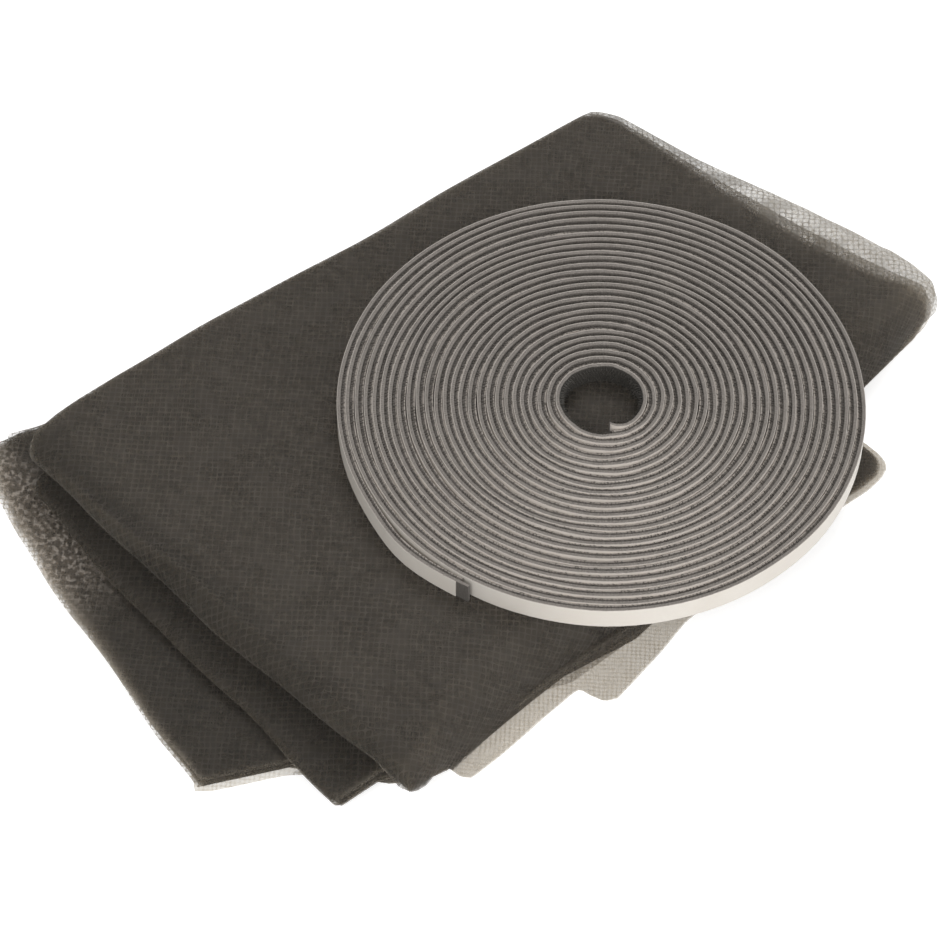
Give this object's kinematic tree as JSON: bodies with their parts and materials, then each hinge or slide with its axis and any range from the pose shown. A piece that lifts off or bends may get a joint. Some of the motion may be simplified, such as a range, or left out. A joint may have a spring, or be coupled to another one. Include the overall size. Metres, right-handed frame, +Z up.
{
  "type": "folded window insect screen net with a roll of hook tape",
  "caption": "Dark insect screen net for a window, folded into a flat packet, with a flat roll of self-adhesive hook tape lying on it.",
  "frame": {"origin": "bottom centre of the bounding box, on the surface that the packet lies on", "axes": "+X along the packet's long side towards its last fold, +Y across the packet towards its left side, +Z up"},
  "size_m": [0.215, 0.152, 0.0217],
  "materials": {
    "net_cloth": "matte open mesh",
    "tape": "matte woven nylon",
    "liner": "smooth siliconed paper"
  },
  "bodies": {
    "root": {"screen_net": "net_cloth", "hook_tape": "tape", "release_liner": "liner"}
  },
  "joints": []
}
